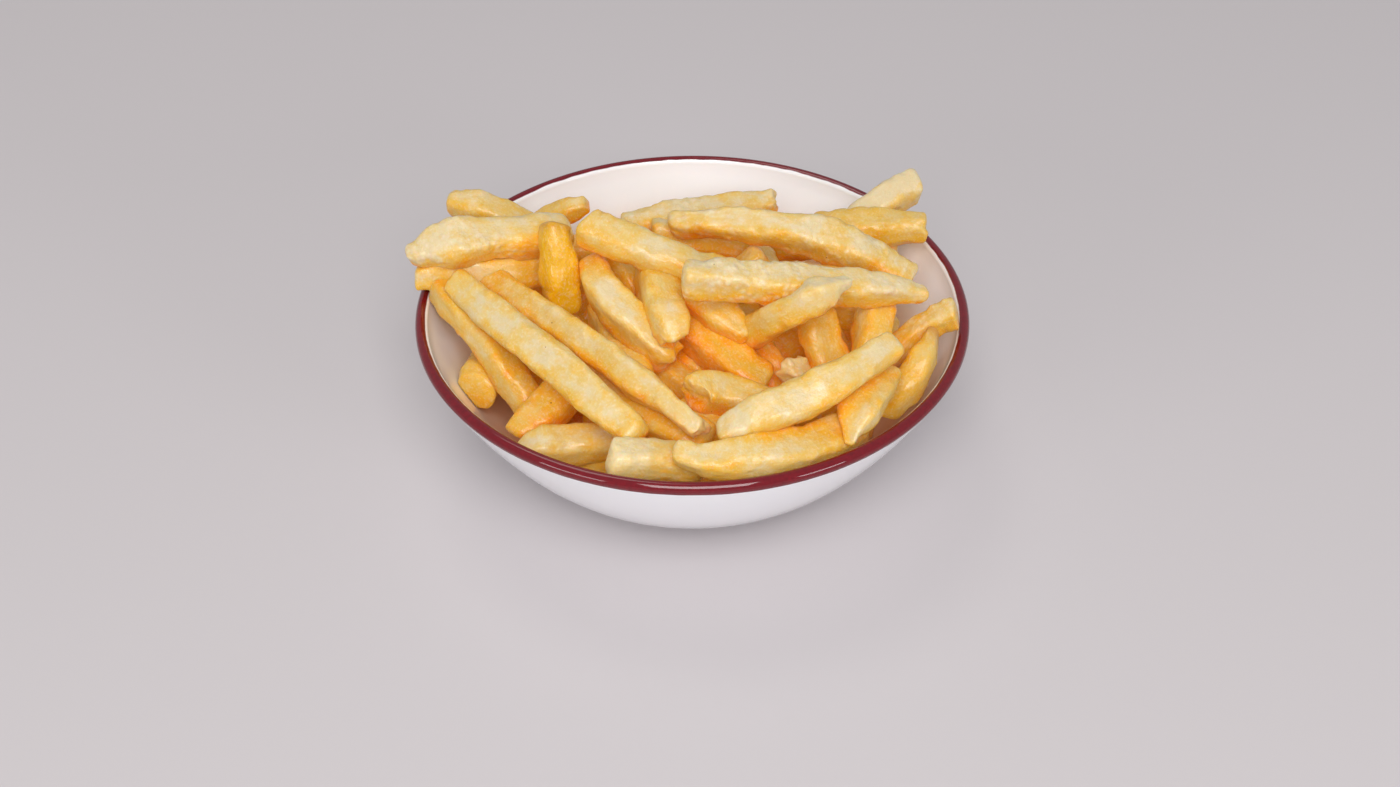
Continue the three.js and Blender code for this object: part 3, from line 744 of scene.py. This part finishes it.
def fryShape(fry, others, step, sides):
    # points, faces and skin values of one fry; others are points along all the other fries
    distances, widths, length = ringPlaces(fry, step)
    fromEnds = distances, length - distances
    across, up, corner = cutSection(fry, distances, widths, length, sides)
    centres, along = linePoints(fry["ends"], distances / length)
    sideways, upwards = crossAxes(along)
    where = alongFry(fry, distances)
    inside = np.minimum(1, widths)
    drift = [0.5 * inside * softNoise(where, 13.0, seeds[name]) for name in ("driftAcross", "driftUp")]
    rings = (centres[:, None, :] + sideways[:, None, :] * (across + drift[0][:, None])[..., None]
             + upwards[:, None, :] * (up + drift[1][:, None])[..., None]
             + along[:, None, :] * endSlide(fry, fromEnds, across, up)[..., None])
    outward = rings - centres[:, None, :]
    outward /= np.maximum(np.linalg.norm(outward, axis=-1, keepdims=True), 1e-6)

    # lumps, crumbs at the torn ends, and blisters
    local = np.stack([across, up, np.repeat(distances[:, None], sides, 1)], axis=-1)
    local = local + fry["number"] * np.array([41.3, 17.9, 63.1])
    height = np.zeros(rings.shape[:2])
    for layer, (size, rise) in enumerate(stick["lumps"]):
        height += rise * softNoise(local, size, seeds["lumps"] + layer) * (0.75 + 0.7 * corner)
    crumbs = sum(nearEnds(fry, "frayed", fromEnds, 3.0))
    height += 0.7 * crumbs * softNoise(local, 1.9, seeds["crumbs"])
    blistered = 0.7 * softNoise(local, 7.0, seeds["blisters"])
    blistered += 0.4 * softNoise(local, 2.6, seeds["smallBlisters"])
    blister = np.clip((blistered + 0.25) / 0.5, 0, 1) * fry.get("blisters", stick["blisters"])
    blister = np.clip(blister + 1.1 * crumbs * (0.6 + softNoise(local, 2.2, seeds["dryCrumbs"])), 0, 1)
    height += stick["blisterHeight"] * blister * softNoise(local, 1.7, seeds["domes"])
    height *= np.minimum(1, widths * 1.2)[:, None]
    rings = clearOfGlaze(rings + outward * height[..., None])

    paintedCrowdShade = paintedShadeCrowding(rings, outward, others)
    values = {"skinToneAndPaintedShade": skinToneAndPaintedShade(fry, local, outward[..., 2], corner, blister, paintedCrowdShade, fromEnds),
              "skinEnds": skinEnds(fry, local, fromEnds), "skinPlace": local * mm}
    points, values = withPoles(rings, values)
    return points, closedFaces(len(rings), sides), values


def skinToneAndPaintedShade(fry, local, facingUp, corner, blister, paintedCrowdShade, fromEnds):
    # toast, blister, paintedCrowdShade: pale on top, deeper along the edges and at the ends, with painted
    # shade underneath and between the fries
    edging = corner * np.clip(0.7 + 0.9 * softNoise(local, 3.5, seeds["edges"]), 0, 1.4)
    ending = sum(np.exp(-away / 3.0) for away in fromEnds)[:, None]
    toast = (toasting["everywhere"] + fry.get("gold", 0.0)
             + toasting["fryToFry"] * ownCharacter(fry["number"])[1]
             + toasting["edges"] * edging * (1 - blister)
             + toasting["ends"] * ending
             + toasting["paintedShadeUnderneath"] * np.clip(0.55 - facingUp, 0, 1.2)
             + toasting["paintedCrowdShade"] * paintedCrowdShade
             + toasting["patches"] * softNoise(local, 9.0, seeds["patches"]))
    return np.stack([toast, blister, paintedCrowdShade], axis=-1)


def skinEnds(fry, local, fromEnds):
    # singed, raw, yellow
    burn = sum(nearEnds(fry, "singed", fromEnds, 3.5, 2)) * (1 + 0.5 * softNoise(local, 3.0, seeds["burn"]))
    raw = sum(nearEnds(fry, "raw", fromEnds, 11, 2))
    yellow = fry.get("yellow", 0) * (0.75 + 0.5 * softNoise(local, 12.0, seeds["yellow"]))
    return np.stack([np.clip(burn, 0, 1), np.broadcast_to(raw, burn.shape), np.clip(yellow, 0, 1)], axis=-1)


def clearOfGlaze(points, gap=0.25):
    # points that would be inside the porcelain move to its surface, the shorter way
    radius = np.maximum(np.hypot(points[..., 0], points[..., 1]), 1e-6)
    height = points[..., 2]
    rise = lipBase - bowl["floorHeight"]
    share = np.clip((height - bowl["floorHeight"]) / rise, 0, 1) ** (1 / bowl["innerFullness"])
    wallShare = np.clip(radius / innerRimRadius, 0, 1) ** bowl["innerFullness"]
    wallHeight = bowl["floorHeight"] + rise * wallShare
    inward = radius - (innerRimRadius * share - gap)
    upward = wallHeight + gap - height
    touching = (inward > 0) & (upward > 0) & (radius < innerRimRadius + 1)
    sink = np.where(touching & (inward <= upward), inward, 0)
    lift = np.where(touching & (upward < inward), upward, 0)
    overLip = (radius >= innerRimRadius - 0.5) & (radius <= bowl["rimRadius"] + 0.3)
    middle = bowl["rimRadius"] - bowl["lipWidth"] / 2
    sideShare = np.clip((radius - middle) / (bowl["lipWidth"] / 2 + gap), -1, 1)
    lipTop = lipBase + (bowl["lipRise"] + gap) * np.sqrt(1 - sideShare ** 2)
    onLip = overLip & (height < lipTop) & (height > lipBase - 4)
    lift = np.where(onLip, lipTop - height, lift)
    sink = np.where(onLip, 0, sink)
    moved = points.copy()
    moved[..., :2] *= ((radius - sink) / radius)[..., None]
    moved[..., 2] += lift
    return moved


def paintedShadeCrowding(points, outward, others):
    # painted shade: 0 in the open, 1 where other fries close in from above and beside; it deepens the gold
    # and drives the painted glow
    centres, halves = others
    flat, facing = points.reshape(-1, 3).astype(np.float32), outward.reshape(-1, 3).astype(np.float32)
    low, high = flat.min(0) - 22, flat.max(0) + 22
    near = ((centres > low) & (centres < high)).all(axis=1)
    away = centres[near][None].astype(np.float32) - flat[:, None]
    distance = np.linalg.norm(away, axis=-1) + 1e-6
    towards = np.einsum("pcx,px->pc", away, facing) / distance
    above = 0.35 + 0.65 * np.clip(0.5 + 0.8 * away[..., 2] / distance, 0, 1)
    gap = np.maximum(distance - halves[near], 0.4)
    shade = np.clip(towards, 0, 1) * above * np.exp(-gap / 5.5)
    return (1 - np.exp(-0.42 * shade.sum(axis=1))).reshape(points.shape[:2]).astype(float)


def makeFries(name, fries, everyFry, step=stick["bodyStep"], sides=stick["sides"]):
    shares = np.linspace(0.03, 0.97, 15)  # where along the other fries their closeness is felt
    points, faces, values = [], [], {"skinToneAndPaintedShade": [], "skinEnds": [], "skinPlace": []}
    count = 0
    for fry in fries:
        others = [other for other in everyFry if other is not fry]
        centres = np.concatenate([linePoints(other["ends"], shares)[0] for other in others])
        halves = np.repeat([other["thick"] / 2 for other in others], len(shares))
        fryPoints, fryFaces, fryValues = fryShape(fry, (centres, halves), step, sides)
        points.append(fryPoints)
        faces += [tuple(corner + count for corner in face) for face in fryFaces]
        for key, value in fryValues.items():
            values[key].append(value)
        count += len(fryPoints)
    values = {key: np.concatenate(value) for key, value in values.items()}
    layFood(meshPiece(name, np.concatenate(points), faces, fryMaterial, values))


def layFood(piece):
    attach(piece, "root")
    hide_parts("fries")


# The core under them, and the rule that fills the heap between and behind the fries that show

contactGap = 0.3  # between food and glaze
core = {"bedRadius": 60.0, "bedEdge": 17.0, "bedTop": 27.0, "moundX": -5.0, "moundY": 24.0,
        "moundBase": 8.0, "moundLength": 48.0, "moundWidth": 28.0, "moundHeight": 32.0,
        "sides": 96, "wallSteps": 60, "topRings": 40, "lumpHeight": 0.9, "lumpSize": 6.0, "toast": 0.95}
filling = {"seed": 5, "attempts": 60000, "count": 24, "lengths": (32, 60), "thicks": (9, 11), "lift": 16,
           "squeeze": 3, "cover": 0.55, "reach": 62, "samples": 7, "bend": 0.35, "wallRoom": 1.15,
           "aboveRim": 12, "rollRange": 0.4, "elevation": 40, "distance": 585, "aimHeight": 15,
           "outlineMiddle": 27, "outlineWidth": 68, "outlineHeight": 42}
bedding = {"seed": 12, "count": 46, "reach": 54, "lengths": (24, 44), "thicks": (8.5, 10.5), "above": 0.5,
           "samples": 7, "wallRoom": 1.1, "rollRange": 0.7, "gold": 0.3, "bodyStep": 1.6, "sides": 24}
wallLine = np.stack(innerWall(np.linspace(0, 1, 41)), axis=1)  # radius and height


def bedHeight(x, y):
    return between(core["bedTop"], core["bedEdge"], (np.hypot(x, y) / core["bedRadius"]) ** 2)


def moundHeight(x, y):
    away = np.hypot((x - core["moundX"]) / core["moundLength"], (y - core["moundY"]) / core["moundWidth"])
    return core["moundBase"] + core["moundHeight"] * np.sqrt(np.maximum(0, 1 - away ** 2))


def coreHeight(x, y):
    return np.maximum(bedHeight(x, y), moundHeight(x, y))


def seenFromFront(points):
    # across, up and towards the viewer
    tiltUp = math.radians(filling["elevation"])
    height = points[..., 2] - filling["aimHeight"]
    towards = height * math.sin(tiltUp) - points[..., 1] * math.cos(tiltUp)
    scale = filling["distance"] / (filling["distance"] - towards)
    up = points[..., 1] * math.sin(tiltUp) + height * math.cos(tiltUp)
    return points[..., 0] * scale, up * scale, towards


def drawnStick(rule, draw):
    # x and y of the ends and the middle of a stick that a rule draws, and its thickness
    reach, angle, heading, size, width = (next(draw) for _ in range(5))
    reach = rule["reach"] * math.sqrt(reach)
    angle, heading = 2 * math.pi * angle, math.pi * heading
    offsets = np.array([-1, 0, 1]) * between(*rule["lengths"], size) / 2
    x = reach * math.cos(angle) + offsets * math.cos(heading)
    y = reach * math.sin(angle) + offsets * math.sin(heading)
    return x, y, between(*rule["thicks"], width)


def roomToWall(points):
    radius = np.hypot(points[:, 0], points[:, 1])
    return np.hypot(radius[:, None] - wallLine[:, 0], points[:, 2, None] - wallLine[:, 1]).min(axis=1)


def outsideOutline(points, thick):
    # past the heap's outline, as seen from the front
    across, up, _ = seenFromFront(points)
    middle = filling["outlineMiddle"] - filling["aimHeight"] * math.cos(math.radians(filling["elevation"]))
    wide, high = filling["outlineWidth"] - thick / 2, filling["outlineHeight"] - thick / 2
    return (np.hypot(across / wide, (up - middle) / high) >= 1).any()


def coversShown(points, thick, shownSeen):
    # in front of a fry that shows
    across, up, towards = seenFromFront(points)
    for (otherAcross, otherUp, otherTowards), otherThick in shownSeen:
        near = np.hypot(across[:, None] - otherAcross, up[:, None] - otherUp)
        inFront = towards[:, None] > otherTowards
        if ((near < (thick + otherThick) / 2 * filling["cover"]) & inFront).any():
            return True
    return False


def tooClose(points, thick, placed):
    for other in placed:
        least = (thick + other["thick"]) / 2 - filling["squeeze"]
        if (np.linalg.norm(points[:, None] - other["points"], axis=-1) < least).any():
            return True
    return False


def fillTheHeap(shown):
    draw = seededDraw(filling["seed"])
    steps = np.linspace(0, 1, filling["samples"])
    placed = [{"points": linePoints(fry["ends"], steps)[0], "thick": fry["thick"]} for fry in shown]
    shownSeen = [(seenFromFront(fry["points"]), fry["thick"]) for fry in placed]
    filled = []
    for attempt in range(filling["attempts"]):
        if len(filled) == filling["count"]:
            break
        x, y, thick = drawnStick(filling, draw)
        z = coreHeight(x, y) + thick / 2 + filling["lift"] * next(draw)
        z[1] = between((z[0] + z[2]) / 2, z[1], filling["bend"])
        ends = list(zip(x.tolist(), y.tolist(), z.tolist()))
        points = linePoints(ends, steps)[0]
        inWall = (roomToWall(points) <= thick / 2 * filling["wallRoom"] + contactGap).any()
        tooHigh = (points[:, 2] >= bowl["height"] + filling["aboveRim"]).any()
        if inWall or tooHigh or outsideOutline(points, thick):
            continue
        if coversShown(points, thick, shownSeen) or tooClose(points, thick, placed):
            continue
        placed.append({"points": points, "thick": thick})
        filled.append({"ends": ends, "thick": thick})
    rolls = [between(-filling["rollRange"], filling["rollRange"], next(draw)) for _ in placed]
    return filled, rolls


def layBedding(number):
    # fries half sunk in the core's surface, so that no bare core shows in the gaps
    draw = seededDraw(bedding["seed"])
    steps = np.linspace(0, 1, bedding["samples"])
    laid = []
    while len(laid) < bedding["count"]:
        x, y, thick = drawnStick(bedding, draw)
        z = coreHeight(x, y) + bedding["above"]
        ends = list(zip(x.tolist(), y.tolist(), z.tolist()))
        if (roomToWall(linePoints(ends, steps)[0]) > thick / 2 * bedding["wallRoom"]).all():
            roll = between(-bedding["rollRange"], bedding["rollRange"], next(draw))
            laid.append({"ends": ends, "thick": thick, "roll": roll, "gold": bedding["gold"],
                         "number": number + len(laid)})
    return laid


shownFries = [fry for fries in fryPieces.values() for fry in fries]
filledFries, rolls = fillTheHeap(shownFries)
for number, (fry, roll) in enumerate(zip(shownFries + filledFries, rolls)):
    fry["number"] = number + 1
    fry.setdefault("roll", roll)
print("heap filled with", len(filledFries), "more fries")

heapFries = shownFries + filledFries
for name, fries in fryPieces.items():
    makeFries(name, fries, heapFries)
makeFries("friesBetween", filledFries, heapFries)
beddingFries = layBedding(len(heapFries) + 1)
makeFries("friesBedding", beddingFries, heapFries, bedding["bodyStep"], bedding["sides"])
print("fries made:", len(heapFries) + len(beddingFries))


def makeCore():
    # the fries packed out of sight: a bed that follows the wall, with the mound standing on it
    turns = np.arange(core["sides"]) * 2 * math.pi / core["sides"]
    wallRadii, wallHeights = innerWall(np.linspace(0.05, 1, core["wallSteps"]), 2 * contactGap)
    under = wallHeights < core["bedEdge"]
    rings = []
    for radius, height in zip(wallRadii[under], wallHeights[under]):
        level = np.full(core["sides"], height)
        rings.append(np.stack([radius * np.cos(turns), radius * np.sin(turns), level], axis=1))
    for radius in np.linspace(wallRadii[under][-1], 1.0, core["topRings"])[1:]:
        x, y = radius * np.cos(turns), radius * np.sin(turns)
        z = coreHeight(x, y)
        lumps = softNoise(np.stack([x, y, z], axis=1), core["lumpSize"], seeds["packed"])
        lowest = np.interp(radius, wallRadii, wallHeights)
        rings.append(np.stack([x, y, np.maximum(z + core["lumpHeight"] * lumps, lowest)], axis=1))
    rings = np.array(rings)
    values = {"skinToneAndPaintedShade": np.zeros(rings.shape), "skinEnds": np.zeros(rings.shape), "skinPlace": rings * mm}
    # painted shade: the packed core takes a deep toast, the colour of fries in shadow
    values["skinToneAndPaintedShade"][..., 0] = core["toast"]
    points, values = withPoles(rings, values)
    faces = closedFaces(len(rings), core["sides"])
    layFood(meshPiece("friesPackedBelow", points, faces, fryMaterial, values))


makeCore()
print("core laid in the bowl")
